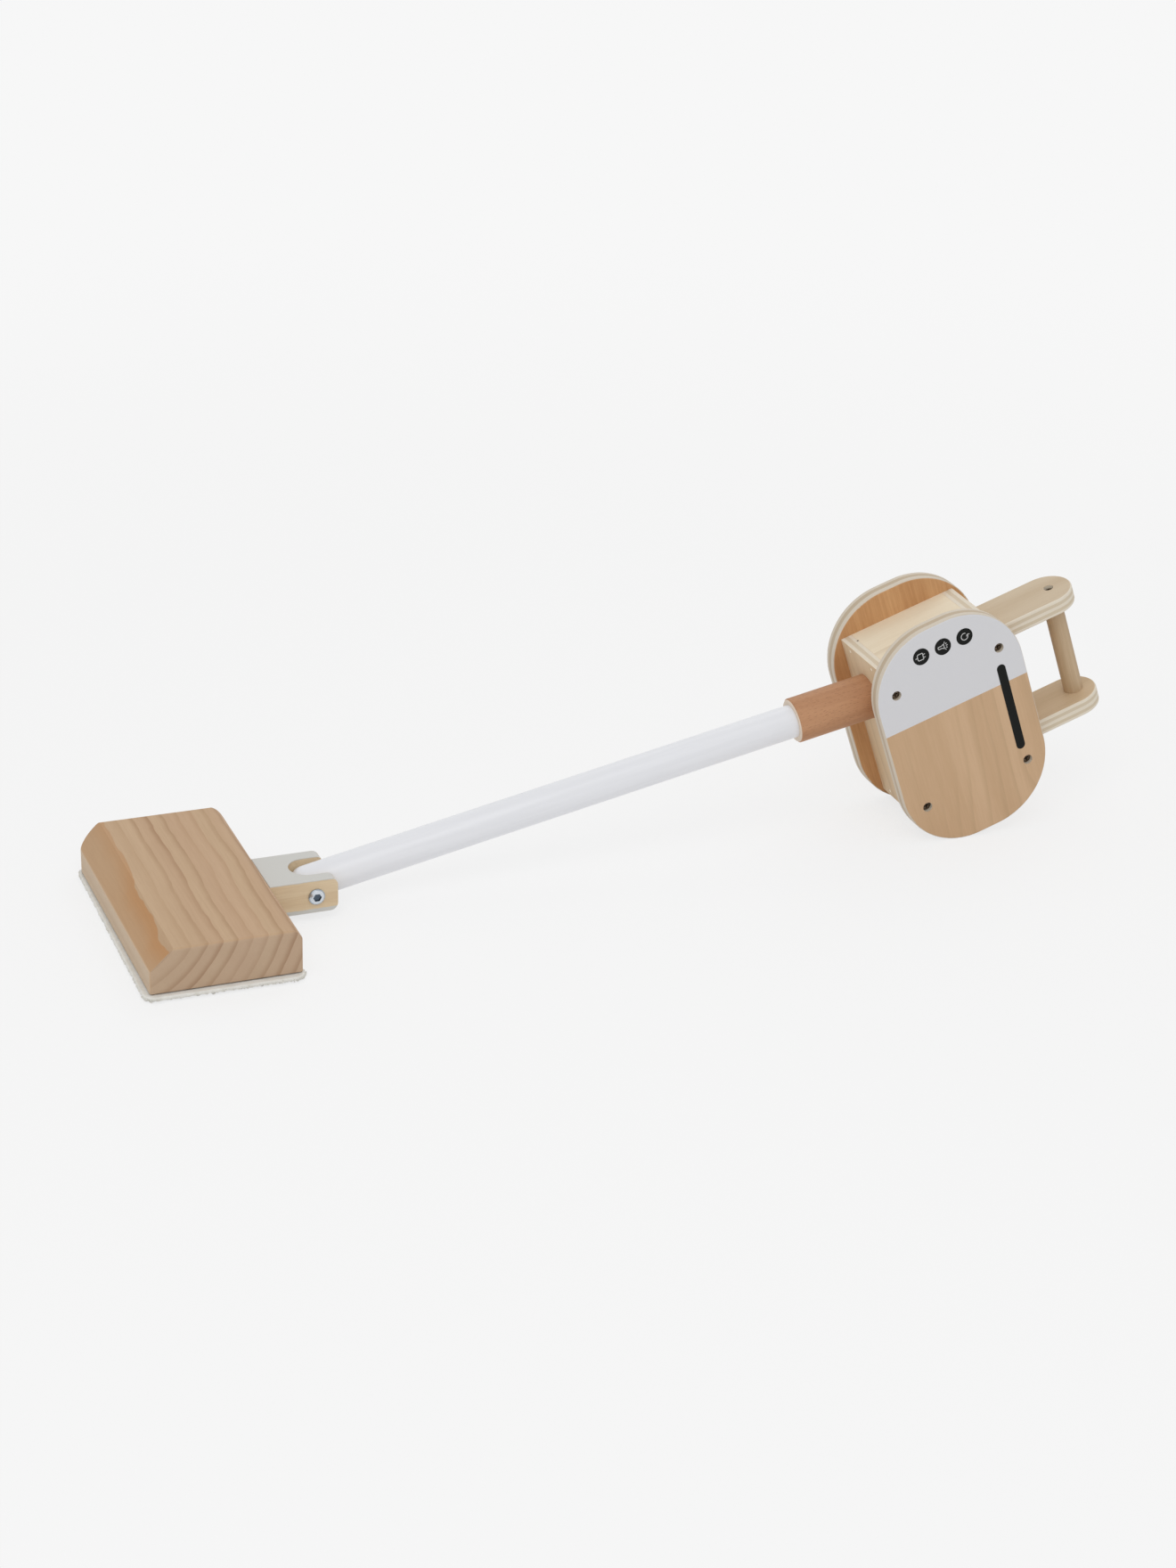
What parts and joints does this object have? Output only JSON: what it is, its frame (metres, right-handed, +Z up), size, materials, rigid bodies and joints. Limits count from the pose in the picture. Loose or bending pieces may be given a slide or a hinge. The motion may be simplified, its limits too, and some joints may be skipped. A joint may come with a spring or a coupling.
{
  "type": "toy vacuum cleaner",
  "caption": "Wooden toy stick vacuum cleaner with a hinged wide foot on a terry pad, a white stick, a plywood body with rounded side panels and a loop handle.",
  "frame": {"origin": "middle of the cleaning pad's underside, on the floor", "axes": "+X from the foot to the handle, +Z up, -Y towards the panel with the printed marks"},
  "size_m": [0.6827, 0.19, 0.1609],
  "materials": {
    "pine": "bare sanded pine",
    "maple": "bare sides, white paint on top and bottom",
    "beech": "bare sanded beech",
    "dowel_wood": "bare sanded dowel",
    "plywood": "bare sanded plywood, layered edges",
    "painted_plywood": "light grey paint on the upper part, bare below",
    "white_lacquer": "satin white lacquer on wood",
    "steel": "bright zinc plated",
    "terry": "white looped terry",
    "hook_tape": "white hook tape"
  },
  "bodies": {
    "body": {"stick": "white_lacquer", "sleeve": "beech", "wand_block": "pine", "front_plate": "plywood", "back_plate": "plywood", "top_plate": "plywood", "bottom_plate": "plywood", "left_panel": "painted_plywood", "right_panel": "painted_plywood", "left_panel_screws": "steel", "right_panel_screws": "steel", "front_plate_pins": "steel", "back_plate_pins": "steel", "upper_arm": "plywood", "lower_arm": "plywood", "grip": "dowel_wood", "grip_screws": "steel"},
    "foot": {"foot_block": "pine", "cleaning_pad": "terry", "hook_strips": "hook_tape", "hinge_block": "maple", "hinge_dowels": "beech", "pivot_nut": "steel", "pivot_bolt": "steel"}
  },
  "joints": [
    {"name": "foot_hinge", "type": "hinge", "parent": "body", "child": "foot", "pos_m": [0.0775, 0, 0.0165], "axis": [0, 1, 0], "range_deg": [-101, 78.5]}
  ]
}
